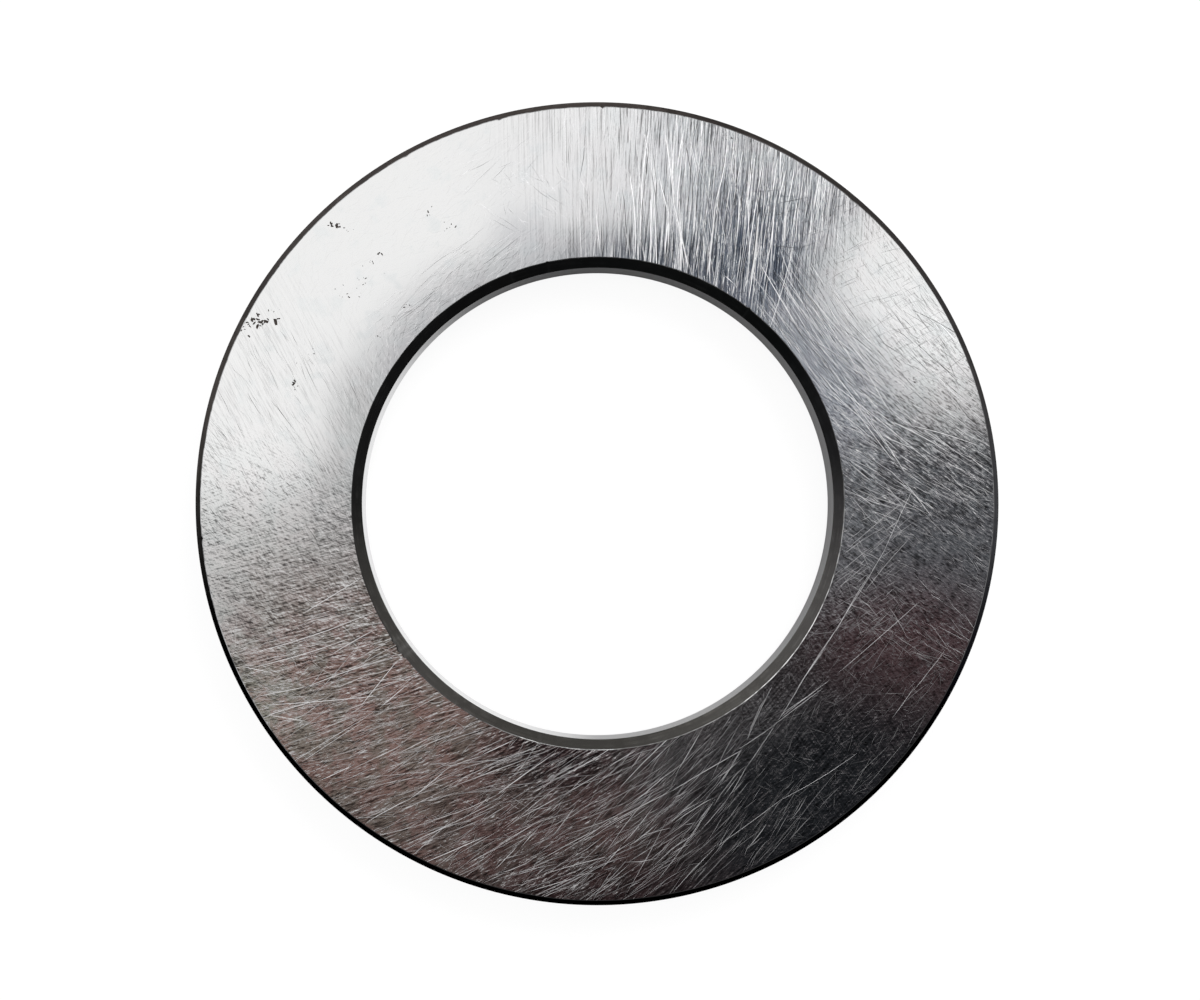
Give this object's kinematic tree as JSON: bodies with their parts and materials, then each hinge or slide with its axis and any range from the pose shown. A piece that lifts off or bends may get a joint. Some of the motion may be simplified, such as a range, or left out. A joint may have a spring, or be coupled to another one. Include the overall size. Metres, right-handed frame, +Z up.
{
  "type": "thrust washer",
  "caption": "Flat round thrust washer of hardened steel with ground, scratched faces, a large plain bore and chamfered edges.",
  "frame": {"origin": "centre of the lower face, on the axis of the bore", "axes": "+Z up along the axis of the bore, square to both faces; X and Y lie in the lower face"},
  "size_m": [0.068, 0.068, 0.005],
  "materials": {
    "ground_steel": "ground and polished faces with many fine scratches, light stains and a few dark pits; dark chamfers, satin bore and rim"
  },
  "bodies": {
    "root": {"thrust_washer": "ground_steel"}
  },
  "joints": []
}
